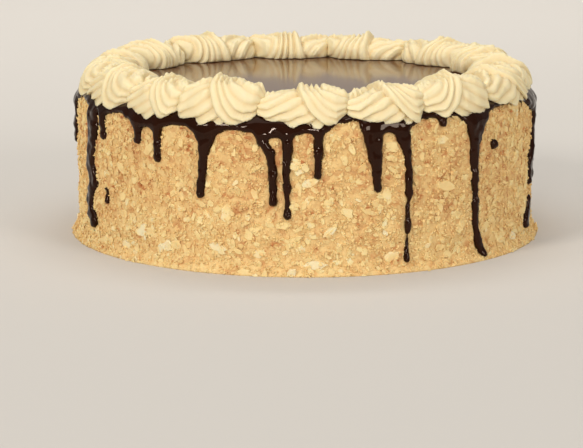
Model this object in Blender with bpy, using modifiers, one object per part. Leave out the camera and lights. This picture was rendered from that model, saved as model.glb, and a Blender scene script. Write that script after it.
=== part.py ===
"""A round layer cake: a body coated in chopped nuts, a poured chocolate glaze that runs
down the side in drips, and a ring of piped buttercream swirls on top of the glaze.

Units are metres, +Z is up, and the origin is the middle of the flat underside.
Angles round the cake are in degrees: 0 faces -Y, and they grow towards +X.
"""

import math
import random

import bmesh
import bpy
from mathutils import Euler, Vector

MM = 0.001
GAP = 0.3 * MM
MERGE = 0.01 * MM
SLIVER = 0.001 * MM

# Cake body
CAKE_RADIUS = 125.0 * MM
CAKE_HEIGHT = 80.0 * MM
SHOULDER_RADIUS = 8.2 * MM
SKIRT_FLARE = 4.6 * MM
SKIRT_HEIGHT = 9.0 * MM
SKIRT_SHARES = (0.56, 0.25, 0.0)
BODY_STEPS = 84
SIDE_BANDS = 8
SHOULDER_TURNS = (45, 90)
SHOULDER_DENT = 0.4 * MM
DENT_DEPTH = 1.9 * MM
SKIRT_DENT_SHARE = 0.5
SIDEWAYS_SHIFT = 2.4 * MM
COAT_EDGE = 1.0 * MM
COAT_SEED = 7

# Flaked nuts that stand out of the coating, spread evenly by a golden angle round the
# cake and a golden share of its height
NUT_COUNT = 130
NUT_SIDES = 6
NUT_RADIUS = (3.2 * MM, 6.0 * MM)
NUT_TAPER = (0.6, 0.85)
NUT_LENGTH = (0.75, 1.15)
NUT_WIDTH = (0.45, 0.8)
NUT_THICKNESS = 5.4 * MM
NUT_PROUD = (1.1 * MM, 2.0 * MM)
NUT_TILT = 16.0
NUT_SEED = 12
LOWEST_NUT = 6.5 * MM
HIGHEST_NUT = 75.8 * MM
RIM_CLEARANCE = 1.2 * MM
TIP_CLEARANCE = 2.5 * MM
GOLDEN_ANGLE = 180 * (3 - math.sqrt(5))
GOLDEN_SHARE = 0.7548777

# Chocolate glaze
GLAZE_THICKNESS = 1.5 * MM
GLAZE_STEPS = 96
GLAZE_TOP = CAKE_HEIGHT + GAP + GLAZE_THICKNESS
GLAZE_SHOULDER = SHOULDER_RADIUS + GAP + GLAZE_THICKNESS
SHOULDER_CENTRE = (CAKE_RADIUS - SHOULDER_RADIUS, CAKE_HEIGHT - SHOULDER_RADIUS)
GLAZE_SHARES = (0.0, 0.4, 0.75, 0.96)
RIM_DEPTH = 7.0 * MM
FUNNEL_DEPTH = 6.0 * MM
MOST_FUNNEL = 1.2
SHORTEST_DRIP = 4.0 * MM
LOWEST_DRIP = 1.0 * MM
DRIP_ROOT = 3.5 * MM
HIGHEST_ROOT = SHOULDER_CENTRE[1] + 1.5 * MM
DRIP_FLATNESS = 0.55
DRIP_SWAY = 0.7 * MM
SWAY_TURN = 4.0

# The rim's waves: how many round the cake, where they start in radians and how deep
RIM_WAVES = ((9, 1.0, 1.5 * MM), (23, 0.0, 0.9 * MM))

# A drip from its root to its tip: share of its fall and share of its half width
DRIP_PROFILE = ((0.0, 0.5), (0.15, 1.0), (0.72, 0.66), (0.9, 1.0), (1.0, 0.45))

# The drips that show: angle, height of the tip, widest half width and width of the
# funnel that feeds it, in degrees and millimetres
SHOWN_DRIPS = (
    (-84.2, 49.0, 2.6, 3.2),
    (-64.0, 11.0, 3.4, 3.4),
    (-57.3, 60.0, 2.0, 2.6),
    (-43.1, 61.5, 2.2, 3.0),
    (-37.0, 53.0, 2.1, 2.6),
    (-24.5, 37.5, 3.0, 5.0),
    (-8.0, 35.5, 2.5, 3.4),
    (-3.6, 28.5, 2.5, 2.8),
    (3.2, 48.5, 2.3, 2.4),
    (16.6, 41.5, 2.6, 3.6),
    (24.4, 6.0, 2.1, 3.2),
    (34.3, 71.0, 2.2, 2.2),
    (44.9, 5.0, 2.5, 4.6),
    (78.0, 9.0, 3.2, 4.2),
)

# The drips round the back: their number and arc, how far each may stray as a share of
# their pitch, and the heights of their tips, half widths and funnels in millimetres
HIDDEN_DRIPS = 12
HIDDEN_ARC = (106.0, 254.0)
HIDDEN_STRAY = 0.3
HIDDEN_TIPS = (8, 24, 38, 50, 60)
HIDDEN_TIP_STRAY = 4
HIDDEN_HALF_WIDTH = (2.0, 2.8)
HIDDEN_FUNNEL = (3.2, 4.6)
DRIP_SEED = 5

# Piped buttercream swirls
RING_RADIUS = 109.0 * MM
RIDGES = 6
SWIRL_STATIONS = 10
GROOVE = 0.25
SWIRL_SEED = 3
TEAR = 0.07
HOOK = (0.8 * MM, 2.2 * MM)
PEAK_SHARE = (0.36, 0.52)
SPRING_HEIGHT = 1.5 * MM
FIRST_LEAN = math.radians(-12)
SEAT_SLACK = 0.25 * MM
SEAT_RADII = (122.3 * MM, 118.5 * MM)
SEAT_MARGIN = 1.2 * MM

# Where each swirl starts, as an angle, and the height of its crest in millimetres
SWIRL_STARTS = (
    (-48.3, 14.5), (-31.6, 17.0), (-11.3, 13.5), (10.1, 13.0),
    (29.8, 16.0), (52.5, 14.5), (75.2, 13.5), (97.9, 15.0),
    (120.6, 14.5), (146.9, 13.5), (172.8, 15.0), (197.1, 14.0),
    (224.5, 15.0), (246.3, 13.5), (268.1, 14.0), (289.9, 15.0),
)

# How one swirl changes from its start (0), over its peak, to its tail (1): half width and
# outward shift in millimetres, crest as a share of the swirl's height, and the fan that
# gathers its ridges towards the outer foot (over 1) or the inner one (under 1)
PEAK_KEY = 0.45
HALF_WIDTH = ((0.0, 10.5), (0.2, 15.0), (0.45, 16.6), (0.65, 16.2), (0.88, 12.0), (1.0, 8.0))
CREST_SHARE = ((0.0, 0.56), (0.2, 0.8), (0.45, 1.0), (0.65, 0.92), (0.88, 0.68), (1.0, 0.48))
OUTWARD_SHIFT = ((0.0, 3.0), (0.35, 0.0), (0.65, 0.0), (1.0, 5.0))
FAN = ((0.0, 1.2), (0.45, 0.82), (1.0, 1.4))

# Materials: colour, roughness, metallic
NUT_LOOK = ((0.76, 0.50, 0.22), 0.75, 0.0)
GLAZE_LOOK = ((0.018, 0.008, 0.005), 0.12, 0.0)
CREAM_LOOK = ((0.88, 0.74, 0.42), 0.5, 0.0)


def eased(keys, share):
    """The value at this share of the way along, eased from each key to the next."""
    for (low, first), (high, second) in zip(keys, keys[1:]):
        if share <= high:
            part = (share - low) / (high - low)
            part = part * part * (3 - 2 * part)
            return first + (second - first) * part
    return keys[-1][1]


def around(angle, radius, height):
    """The point at this angle round the cake, in degrees."""
    turn = math.radians(angle)
    return Vector((radius * math.sin(turn), -radius * math.cos(turn), height))


def apart(first, second):
    """How far two angles are apart, in degrees."""
    return abs((first - second + 180) % 360 - 180)


def side_radius(height):
    """The cake body's radius at this height: shoulder, straight side, flared skirt."""
    centre, shoulder_start = SHOULDER_CENTRE
    if height > shoulder_start:
        rise = min(height - shoulder_start, SHOULDER_RADIUS)
        return centre + math.sqrt(SHOULDER_RADIUS ** 2 - rise ** 2)
    if height < SKIRT_HEIGHT:
        return CAKE_RADIUS + SKIRT_FLARE * (1 - height / SKIRT_HEIGHT) ** 2
    return CAKE_RADIUS


def glaze_height(radius):
    """The height of the glaze's outer face at this radius from the axis."""
    centre, shoulder_start = SHOULDER_CENTRE
    reach = min(max(radius - centre, 0.0), GLAZE_SHOULDER)
    return shoulder_start + math.sqrt(GLAZE_SHOULDER ** 2 - reach ** 2)


def seat(radius):
    """The point of a swirl's underside at this radius, just clear of the glaze, as the
    pair of radius and height."""
    return radius, glaze_height(radius) + GAP + SEAT_SLACK


def make_drips():
    """Every drip as (angle, tip height, half width, funnel width)."""
    rng = random.Random(DRIP_SEED)
    drips = [(angle, tip * MM, half * MM, funnel) for angle, tip, half, funnel in SHOWN_DRIPS]
    first, last = HIDDEN_ARC
    pitch = (last - first) / (HIDDEN_DRIPS - 1)
    for number in range(HIDDEN_DRIPS):
        angle = first + pitch * (number + rng.uniform(-HIDDEN_STRAY, HIDDEN_STRAY))
        tip = rng.choice(HIDDEN_TIPS) + rng.uniform(-HIDDEN_TIP_STRAY, HIDDEN_TIP_STRAY)
        half = rng.uniform(*HIDDEN_HALF_WIDTH)
        drips.append((angle, tip * MM, half * MM, rng.uniform(*HIDDEN_FUNNEL)))
    return drips


def rim_depth(angle, drips):
    """How far the glaze's rim hangs below its top at this angle."""
    turn = math.radians(angle)
    waves = sum(deep * math.sin(turn * number + begin) for number, begin, deep in RIM_WAVES)
    funnels = [math.exp(-(apart(angle, drip[0]) / drip[3]) ** 2) for drip in drips]
    return RIM_DEPTH + waves + FUNNEL_DEPTH * min(sum(funnels), MOST_FUNNEL)


def material(name, look):
    colour, roughness, metallic = look
    made = bpy.data.materials.new(name)
    made.use_nodes = True
    shader = made.node_tree.nodes["Principled BSDF"]
    shader.inputs["Base Color"].default_value = (*colour, 1.0)
    shader.inputs["Roughness"].default_value = roughness
    shader.inputs["Metallic"].default_value = metallic
    made.diffuse_color = (*colour, 1.0)
    return made


def new_object(name, mesh, collection, look=None):
    made = bpy.data.objects.new(name, mesh)
    collection.objects.link(made)
    if look:
        mesh.materials.append(look)
    return made


def mesh_from(obj):
    """The object's evaluated shape as a mesh of its own; the object is removed."""
    bpy.context.view_layer.update()
    evaluated = obj.evaluated_get(bpy.context.evaluated_depsgraph_get())
    made = bpy.data.meshes.new_from_object(evaluated)
    bpy.data.objects.remove(obj)
    return made


def loft(name, rows, ring):
    """A mesh through rows of points. A ring closes on itself and has no caps; otherwise
    each row is a closed section, and flat caps close the first and the last."""
    bm = bmesh.new()
    made = [[bm.verts.new(point) for point in row] for row in rows]
    count = len(rows[0])
    pairs = list(zip(made, made[1:]))
    if ring:
        pairs.append((made[-1], made[0]))
    spans = count - 1 if ring else count
    for row, following in pairs:
        for i in range(spans):
            j = (i + 1) % count
            bm.faces.new((row[i], row[j], following[j], following[i]))
    if not ring:
        bm.faces.new(reversed(made[0]))
        bm.faces.new(made[-1])
    bmesh.ops.remove_doubles(bm, verts=bm.verts, dist=MERGE)
    bmesh.ops.dissolve_degenerate(bm, edges=bm.edges, dist=SLIVER)
    bmesh.ops.recalc_face_normals(bm, faces=bm.faces)
    bmesh.ops.triangulate(bm, faces=bm.faces)
    mesh = bpy.data.meshes.new(name)
    bm.to_mesh(mesh)
    bm.free()
    return mesh


def keep_largest_shell(mesh):
    """Drops the loose scraps and sealed pinholes that a union can leave in a mesh."""
    bm = bmesh.new()
    bm.from_mesh(mesh)
    left = set(bm.verts)
    shells = []
    while left:
        shell = set()
        front = [left.pop()]
        while front:
            vert = front.pop()
            shell.add(vert)
            near = {edge.other_vert(vert) for edge in vert.link_edges} & left
            left -= near
            front.extend(near)
        shells.append(shell)
    shells.sort(key=len)
    for shell in shells[:-1]:
        bmesh.ops.delete(bm, geom=list(shell), context="VERTS")
    bm.to_mesh(mesh)
    bm.free()


def fuse(base, pieces):
    """Joins a collection of closed pieces to the base with one Boolean union."""
    union = base.modifiers.new("Union", "BOOLEAN")
    union.operation = "UNION"
    union.operand_type = "COLLECTION"
    union.collection = pieces
    union.solver = "MANIFOLD"
    name = base.name
    looks = list(base.data.materials)
    home = base.users_collection[0]
    joined = mesh_from(base)
    for piece in list(pieces.objects):
        bpy.data.objects.remove(piece)
    keep_largest_shell(joined)
    joined.materials.clear()
    return new_object(name, joined, home, looks[0])


def turned_mesh(name, profile, steps):
    """A mesh turned round the Z axis from a profile of (radius, height) points."""
    mesh = bpy.data.meshes.new(name)
    edges = [(i, i + 1) for i in range(len(profile) - 1)]
    mesh.from_pydata([(radius, 0.0, height) for radius, height in profile], edges, [])
    turned = new_object(name, mesh, bpy.context.scene.collection)
    screw = turned.modifiers.new("Screw", "SCREW")
    screw.steps = steps
    screw.render_steps = steps
    screw.use_merge_vertices = True
    screw.merge_threshold = MERGE
    return mesh_from(turned)


def body_profile():
    """The cake's outline from the middle of its top to the middle of its underside."""
    centre, shoulder_start = SHOULDER_CENTRE
    bend = SHOULDER_RADIUS - SHOULDER_DENT
    points = [(0.0, CAKE_HEIGHT), (centre, CAKE_HEIGHT)]
    for turn in map(math.radians, SHOULDER_TURNS):
        points.append((centre + bend * math.sin(turn), shoulder_start + bend * math.cos(turn)))
    band = (shoulder_start - SKIRT_HEIGHT) / SIDE_BANDS
    heights = [shoulder_start - band * number for number in range(1, SIDE_BANDS + 1)]
    heights += [SKIRT_HEIGHT * share for share in SKIRT_SHARES]
    points += [(side_radius(height), height) for height in heights]
    points.append((0.0, 0.0))
    return points


def rough_coat(mesh):
    """Pushes the side's points in and along by uneven amounts, as a coat of chopped nuts."""
    rng = random.Random(COAT_SEED)
    shoulder_start = SHOULDER_CENTRE[1]
    for vert in mesh.vertices:
        place = vert.co.copy()
        if not COAT_EDGE < place.z < shoulder_start - COAT_EDGE:
            continue
        outward = Vector((place.x, place.y, 0.0)).normalized()
        along = Vector((-outward.y, outward.x, 0.0))
        dent = rng.uniform(0.0, DENT_DEPTH)
        shift = rng.uniform(-SIDEWAYS_SHIFT, SIDEWAYS_SHIFT)
        lift = rng.uniform(-SIDEWAYS_SHIFT, SIDEWAYS_SHIFT)
        if place.z < SKIRT_HEIGHT + COAT_EDGE:
            dent *= SKIRT_DENT_SHARE
            lift = 0.0
        vert.co = place - outward * dent + along * shift + Vector((0.0, 0.0, lift))


def clear_of_glaze(angle, height, reach, drips):
    """Whether a nut of this reach would stay clear of the glaze's rim and drips."""
    spread = math.degrees(reach / CAKE_RADIUS)
    for offset in (-spread, 0.0, spread):
        rim = GLAZE_TOP - rim_depth(angle + offset, drips)
        if height + reach > rim - RIM_CLEARANCE:
            return False
    for drip_angle, tip, half, _ in drips:
        room = math.degrees((reach + half + RIM_CLEARANCE) / CAKE_RADIUS)
        if apart(angle, drip_angle) < room and height + reach > tip - TIP_CLEARANCE:
            return False
    return True


def make_nut(name, rng, angle, height, collection):
    """One flake: a tapered disc, uneven, sunk in the side with its face proud."""
    bm = bmesh.new()
    radius = rng.uniform(*NUT_RADIUS)
    bmesh.ops.create_cone(
        bm, cap_ends=True, segments=NUT_SIDES, radius1=radius,
        radius2=radius * rng.uniform(*NUT_TAPER), depth=NUT_THICKNESS,
    )
    for vert in bm.verts:
        vert.co.x *= rng.uniform(*NUT_LENGTH)
        vert.co.y *= rng.uniform(*NUT_WIDTH)
    mesh = bpy.data.meshes.new(name)
    bm.to_mesh(mesh)
    bm.free()
    nut = new_object(name, mesh, collection)
    tilt = math.radians(NUT_TILT)
    outward = around(angle, 1.0, 0.0)
    lie = outward.to_track_quat("Z", "Y").to_matrix()
    turns = (rng.uniform(-tilt, tilt), rng.uniform(-tilt, tilt), rng.uniform(0, math.tau))
    wobble = Euler(turns).to_matrix()
    nut.matrix_world = (lie @ wobble).to_4x4()
    middle = side_radius(height) + rng.uniform(*NUT_PROUD) - NUT_THICKNESS / 2
    nut.location = around(angle, middle, height)
    return nut


def make_body(collection, cutters, drips):
    mesh = turned_mesh("cake_body", body_profile(), BODY_STEPS)
    rough_coat(mesh)
    body = new_object("cake_body", mesh, collection, material("chopped_nuts", NUT_LOOK))
    rng = random.Random(NUT_SEED)
    for number in range(NUT_COUNT):
        angle = (number * GOLDEN_ANGLE) % 360 - 180
        height = LOWEST_NUT + (HIGHEST_NUT - LOWEST_NUT) * ((number * GOLDEN_SHARE) % 1.0)
        if clear_of_glaze(angle, height, NUT_RADIUS[1], drips):
            make_nut(f"nut_{number:03d}", rng, angle, height, cutters)
    return fuse(body, cutters)


def glaze_row(angle, drips):
    """The glaze cap's section at this angle, from the middle of its top face, over the
    shoulder to the rim and back inside to the middle of its lower face."""
    centre, shoulder_start = SHOULDER_CENTRE
    quarter = GLAZE_SHOULDER * math.pi / 2
    rim_height = GLAZE_TOP - rim_depth(angle, drips)
    if rim_height > shoulder_start:
        length = GLAZE_SHOULDER * math.acos((rim_height - shoulder_start) / GLAZE_SHOULDER)
    else:
        length = quarter + shoulder_start - rim_height
    outer = GLAZE_SHOULDER
    inner = SHOULDER_RADIUS + GAP
    middle = (outer + inner) / 2
    stations = [(share, outer) for share in GLAZE_SHARES] + [(1.0, middle)]
    stations += [(share, inner) for share in reversed(GLAZE_SHARES)]
    row = [Vector((0.0, 0.0, GLAZE_TOP))]
    for share, offset in stations:
        travel = share * length
        turn = min(travel, quarter) / GLAZE_SHOULDER
        drop = max(travel - quarter, 0.0)
        radius = centre + offset * math.sin(turn)
        row.append(around(angle, radius, shoulder_start + offset * math.cos(turn) - drop))
    row.append(Vector((0.0, 0.0, CAKE_HEIGHT + GAP)))
    return row


def make_drip(name, drip, drips, collection):
    """A drip: a tube modelled on a flat wall, flattened and wrapped round the cake."""
    angle, tip, half, _ = drip
    top = min(GLAZE_TOP - rim_depth(angle, drips) + DRIP_ROOT, HIGHEST_ROOT)
    fall = top - tip
    curve = bpy.data.curves.new(name, "CURVE")
    curve.dimensions = "3D"
    curve.bevel_depth = 1.0
    curve.bevel_resolution = 1
    curve.use_fill_caps = True
    spline = curve.splines.new("POLY")
    spline.points.add(len(DRIP_PROFILE) - 1)
    for point, (share, width) in zip(spline.points, DRIP_PROFILE):
        radius = half * width
        sway = DRIP_SWAY * math.sin(angle + SWAY_TURN * share)
        point.co = (sway, radius, top - share * fall, 1.0)
        point.radius = radius
    tube = new_object(name, curve, bpy.context.scene.collection)
    mesh = mesh_from(tube)
    for vert in mesh.vertices:
        sideways, outward, height = vert.co
        height = max(height, LOWEST_DRIP)
        radius = side_radius(height) + GAP + DRIP_FLATNESS * max(outward, 0.0)
        vert.co = around(angle + math.degrees(sideways / CAKE_RADIUS), radius, height)
    bm = bmesh.new()
    bm.from_mesh(mesh)
    bmesh.ops.remove_doubles(bm, verts=bm.verts, dist=MERGE)
    bmesh.ops.recalc_face_normals(bm, faces=bm.faces)
    bm.to_mesh(mesh)
    bm.free()
    return new_object(name, mesh, collection)


def make_glaze(collection, cutters, drips):
    step = 360 / GLAZE_STEPS
    rows = [glaze_row(step * number, drips) for number in range(GLAZE_STEPS)]
    mesh = loft("chocolate_glaze", rows, True)
    glaze = new_object("chocolate_glaze", mesh, collection, material("dark_chocolate", GLAZE_LOOK))
    for number, drip in enumerate(drips):
        if GLAZE_TOP - rim_depth(drip[0], drips) - drip[1] > SHORTEST_DRIP:
            make_drip(f"drip_{number:02d}", drip, drips, cutters)
    return fuse(glaze, cutters)


def swirl_section(share, crest, rng, hook):
    """One section of a swirl as pairs of radius and height: from the outer foot over the
    ridges to the inner foot, and back along the underside that sits on the glaze."""
    half_width = eased(HALF_WIDTH, share) * MM
    middle = RING_RADIUS + eased(OUTWARD_SHIFT, share) * MM
    spring = GLAZE_TOP + GAP + SEAT_SLACK + SPRING_HEIGHT
    above = GLAZE_TOP + crest * eased(CREST_SHARE, share) - spring
    outer = middle + half_width
    section = [seat(outer)]
    for number in range(1, 2 * RIDGES):
        lean = FIRST_LEAN + (math.pi - FIRST_LEAN) * (number / (2 * RIDGES)) ** eased(FAN, share)
        reach = 1 / math.hypot(math.cos(lean) / half_width, math.sin(lean) / above)
        reach *= 1 + rng.uniform(-TEAR, TEAR)
        if number % 2 == 0:
            reach *= 1 - GROOVE
        elif number in (RIDGES - 1, RIDGES + 1):
            reach += hook * rng.random()
        section.append((middle + reach * math.cos(lean), spring + reach * math.sin(lean)))
    section.append(seat(middle - half_width))
    for number, radius in enumerate(reversed(SEAT_RADII)):
        room = outer - SEAT_MARGIN * (len(SEAT_RADII) - number)
        section.append(seat(min(radius, room)))
    return section


def make_swirl(number, collection, look):
    """A swirl: its sections lofted round its own arc of the ring, with the peak moved."""
    rng = random.Random(SWIRL_SEED + number)
    start, crest = SWIRL_STARTS[number]
    following = SWIRL_STARTS[(number + 1) % len(SWIRL_STARTS)][0]
    arc = (following - start) % 360
    peak = rng.uniform(*PEAK_SHARE)
    edge = math.degrees(GAP / (2 * (RING_RADIUS - HALF_WIDTH[0][1] * MM)))
    half_step = 0.5 / (SWIRL_STATIONS - 1)
    rows = []
    for station in range(SWIRL_STATIONS):
        along = 2 * half_step * station
        share = along ** (math.log(PEAK_KEY) / math.log(peak))
        hook = rng.uniform(*HOOK) if abs(along - peak) < half_step else 0.0
        angle = start + edge + (arc - 2 * edge) * along
        section = swirl_section(share, crest * MM, rng, hook)
        rows.append([around(angle, radius, height) for radius, height in section])
    name = f"swirl_{number + 1:02d}"
    return new_object(name, loft(name, rows, False), collection, look)


def main():
    for obj in list(bpy.data.objects):
        bpy.data.objects.remove(obj)
    scene = bpy.context.scene
    cake = bpy.data.collections.new("chocolate_layer_cake")
    scene.collection.children.link(cake)
    pieces = bpy.data.collections.new("pieces_to_fuse")
    scene.collection.children.link(pieces)
    drips = make_drips()
    make_body(cake, pieces, drips)
    make_glaze(cake, pieces, drips)
    cream = material("buttercream", CREAM_LOOK)
    for number in range(len(SWIRL_STARTS)):
        make_swirl(number, cake, cream)


main()
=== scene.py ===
"""Models and finishes a nut-coated layer cake with a poured chocolate glaze and piped swirls.

Sizes are metres, +Z is up, and the origin is the middle of the cake's flat underside.
Angles round the cake are degrees: 0 faces -Y, and they grow towards +X.
"""

import math
import random

import bmesh
import bpy
import numpy as np
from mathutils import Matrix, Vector, noise


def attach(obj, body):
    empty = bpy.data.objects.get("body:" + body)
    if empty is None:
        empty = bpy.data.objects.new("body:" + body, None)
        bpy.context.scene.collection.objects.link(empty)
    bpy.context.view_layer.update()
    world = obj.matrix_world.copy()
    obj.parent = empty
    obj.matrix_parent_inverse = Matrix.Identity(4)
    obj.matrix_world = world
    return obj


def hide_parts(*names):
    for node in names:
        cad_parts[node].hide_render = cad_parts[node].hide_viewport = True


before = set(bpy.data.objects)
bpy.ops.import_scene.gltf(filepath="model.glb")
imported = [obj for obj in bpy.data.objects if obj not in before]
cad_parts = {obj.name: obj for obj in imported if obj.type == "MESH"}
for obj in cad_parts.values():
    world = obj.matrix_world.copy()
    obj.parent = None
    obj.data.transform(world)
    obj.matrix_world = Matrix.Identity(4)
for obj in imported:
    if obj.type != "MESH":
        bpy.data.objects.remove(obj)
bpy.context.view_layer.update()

bl_info = {
    "name": "Chocolate layer cake",
    "version": (1, 0, 0),
    "blender": (4, 5, 0),
    "location": "3D View > Sidebar > Cake",
    "description": "Models a nut-coated cake with a poured glaze and a ring of piped swirls",
    "category": "Object",
}

MM = 0.001
ROOT = "root"

# The body's outline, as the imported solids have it
CAKE_RADIUS = 125.0 * MM
CAKE_HEIGHT = 80.0 * MM
SHOULDER_RADIUS = 8.2 * MM
SHOULDER_CENTRE = (116.8 * MM, 71.8 * MM)
GLAZE_TOP = 81.8 * MM
GLAZE_SHOULDER = 10.0 * MM
SKIRT_FLARE = 4.6 * MM
SKIRT_HEIGHT = 9.0 * MM
RING_RADIUS = 109.0 * MM

# The length of one degree along the side, and how near to each other vertices are merged:
# on the glaze and the crust, and on the seams of the swirls
DEGREE = math.radians(1) * CAKE_RADIUS
MERGE = 0.02 * MM
SEAM_MERGE = 0.005 * MM

# Where each swirl starts, as in the solids, and the height of its crest in millimetres, then
# the share of its length where one lobe laps over the other, how far out it is moved in
# millimetres, how full its ends are from 0 to 1, and whether the first lobe is on top
SWIRLS = (
    (-48.3, 14.5, 0.40, 0.0, 0.0, False), (-31.6, 17.0, 0.36, 0.4, 0.0, False),
    (-11.3, 13.5, 0.43, 0.3, 0.0, False), (10.1, 13.0, 0.46, 0.2, 0.1, False),
    (29.8, 16.0, 0.54, 0.0, 0.1, True), (52.5, 14.5, 0.42, -0.8, 0.3, False),
    (75.2, 13.5, 0.46, -2.2, 0.5, False), (97.9, 15.0, 0.40, -1.0, 0.5, False),
    (120.6, 14.5, 0.50, 0.0, 0.7, True), (146.9, 13.5, 0.44, 0.0, 0.8, False),
    (172.8, 13.6, 0.38, 0.0, 0.8, False), (197.1, 15.0, 0.46, 0.0, 0.8, False),
    (224.5, 15.0, 0.42, 0.0, 0.7, False), (246.3, 13.5, 0.52, -1.0, 0.5, True),
    (268.1, 14.0, 0.43, -2.2, 0.5, False), (289.9, 15.0, 0.38, -1.0, 0.3, False),
)

# The rim of the glaze between its drips: angle and height in millimetres
RIM = (
    (-104, 77.0), (-99, 77.5), (-95.0, 77.0), (-90.0, 75.5), (-84.2, 70.0), (-79.5, 75.5),
    (-75, 78.5), (-69, 77.0), (-66, 75.0), (-63, 70.0), (-60.0, 74.5), (-57.5, 70.5),
    (-54.5, 75.0), (-50, 76.5), (-47, 74.0), (-43.1, 69.5), (-40.0, 71.0), (-37.0, 69.0),
    (-34.5, 72.5), (-32, 74.0), (-29, 73.8), (-27, 71.5), (-23.8, 66.0), (-20.4, 71.0),
    (-18, 73.0), (-16, 73.3), (-12.5, 72.4), (-9.5, 69.0), (-6.6, 70.0), (-4.1, 68.5),
    (-1.6, 71.6), (0.2, 72.6), (1.8, 71.8), (3.1, 69.5), (4.6, 73.0), (8.0, 78.0),
    (11.8, 79.6), (14.2, 76.5), (16.2, 69.0), (18.2, 71.0), (19.9, 71.9), (21.8, 70.8),
    (23.6, 67.5), (25.6, 74.0), (28.5, 78.2), (32.0, 78.4), (34.3, 76.5), (36.6, 78.0),
    (38.6, 77.6), (41.0, 73.0), (44.6, 64.5), (48.2, 72.0), (50.4, 77.0), (54, 79.0),
    (60, 79.4), (66, 79.0), (70, 77.0), (73.5, 73.0), (77.0, 70.0), (82.0, 68.0), (87.0, 73.0),
    (92, 76.5), (100, 77.0),
)

# The drips that show: for each, its stations from the rim down as angle, height and half
# width in millimetres
DRIPS = (
    ((-84.2, 80, 6.4), (-84.2, 72, 4.6), (-84.4, 62, 3.0), (-84.0, 56, 2.6), (-84.0, 52.0, 3.0)),
    ((-62.8, 80, 6.5), (-63.2, 67, 5.2), (-65.2, 44, 4.4), (-63.3, 36, 4.0), (-66.6, 24, 3.4),
     (-65.6, 18, 3.2), (-63.9, 14.2, 3.8)),
    ((-57.6, 73, 2.8), (-57.5, 67, 2.0), (-57.4, 62.0, 2.4)),
    ((-44.4, 74, 2.2), (-43.2, 71, 2.6), (-43.1, 67, 1.9), (-43.1, 63.8, 2.3)),
    ((-37.0, 71, 2.6), (-36.9, 62, 1.8), (-37.0, 55.6, 2.3)),
    ((-23.4, 73, 7.0), (-23.7, 68, 4.8), (-23.9, 62, 2.8), (-24.4, 52, 2.2), (-24.8, 45, 2.0),
     (-25.0, 39.8, 2.2)),
    ((-10.4, 71.5, 2.6), (-9.7, 68, 2.6), (-8.0, 63, 2.2), (-7.4, 52, 2.0), (-7.3, 43, 1.7),
     (-7.2, 37.4, 2.1)),
    ((-4.1, 72, 3.0), (-3.9, 64, 2.4), (-4.2, 54, 1.9), (-4.1, 45, 1.8), (-4.0, 37, 0.9),
     (-4.1, 30.6, 2.1)),
    ((3.1, 72.5, 2.8), (3.1, 62, 2.0), (3.0, 55, 1.4), (3.0, 50.9, 2.1)),
    ((15.5, 76, 6.0), (15.9, 69, 4.4), (16.4, 60, 3.3), (16.8, 51, 2.2), (17.0, 43.4, 2.0)),
    ((22.6, 73, 4.0), (23.4, 68, 3.4), (24.3, 61, 2.0), (24.9, 50, 1.7), (24.9, 40.5, 2.3)),
    ((24.9, 40.0, 1.0), (24.6, 33, 0.7), (24.8, 24, 1.5), (24.6, 20.5, 1.3)),
    ((24.6, 17.0, 0.5), (24.3, 6.6, 1.8)),
    ((34.3, 79, 2.4), (34.3, 74.4, 2.3)),
    ((44.7, 78, 8.4), (44.7, 71, 6.0), (44.6, 63, 3.6), (43.9, 52, 2.3), (44.4, 42, 1.8),
     (44.7, 37, 1.1), (44.9, 31, 2.0), (44.8, 20, 1.7), (45.8, 11, 2.0), (47.0, 4.2, 2.4)),
    ((82.0, 78, 7.0), (82.6, 66, 4.4), (82.3, 58, 4.0), (79.6, 50, 4.6), (77.4, 42, 5.2),
     (76.2, 36, 4.6), (75.4, 33, 3.6)),
    ((75.0, 22, 2.6), (74.0, 15, 3.8), (71.8, 10, 3.0)),
    ((51.0, 61.0, 0.6), (51.4, 58.6, 1.2), (52.0, 58.4, 1.2), (52.3, 60.4, 0.8)),
    ((-56.2, 34, 0.7), (-55.9, 27, 1.0)),
)

# The largest pale flakes at the front: angle, height and length in millimetres
FRONT_FLAKES = (
    (-1.2, 53.0, 7.5), (1.1, 47.0, 8.0), (-1.4, 43.5, 7.0), (-16.0, 12.0, 5.5),
    (20.0, 59.0, 6.0), (20.6, 52.5, 6.5), (33.5, 31.0, 6.0), (-39.5, 46.0, 6.5),
    (-32.5, 38.5, 6.0),
)

# How a swirl changes along its length: half width and outward shift in millimetres, and its
# crest as a share of its full height
HALF_WIDTH = ((0.0, 10.0), (0.16, 14.2), (0.40, 16.4), (0.65, 16.2), (0.88, 12.8), (1.0, 9.0))
CREST_SHARE = ((0.0, 0.68), (0.16, 0.82), (0.42, 1.0), (0.60, 0.93), (0.92, 0.84), (1.0, 0.76))
OUTWARD_SHIFT = ((0.0, 2.0), (0.35, 0.0), (0.65, 0.0), (1.0, 3.0))

# The lamps: name, place and target in metres, width, power in watts, and colour
AHEAD = (0, 0, 0.06)
LAMPS = (
    ("top", (0, -0.2, 2.6), (0, -0.2, 0), 3.2, 40, (1.0, 0.985, 0.97)),
    ("key", (-1.8, -2.0, 1.5), AHEAD, 0.7, 38, (1.0, 0.98, 0.95)),
    ("fill", (1.9, -1.9, 1.1), AHEAD, 0.8, 22, (1.0, 0.985, 0.96)),
    ("window", (-0.35, -2.4, 0.32), AHEAD, 0.22, 11, (1.0, 0.985, 0.98)),
    ("backdrop", (0, 1.0, 2.4), (0, 3.9, 0.5), 1.6, 54, (1.0, 0.98, 0.96)),
)

# Where the camera stands, and how far it looks down and to the left, in degrees
CAMERA_PLACE = (0, -1.18148, 0.24433)
CAMERA_DOWN = 11.648
CAMERA_TURN = 0.359


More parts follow.
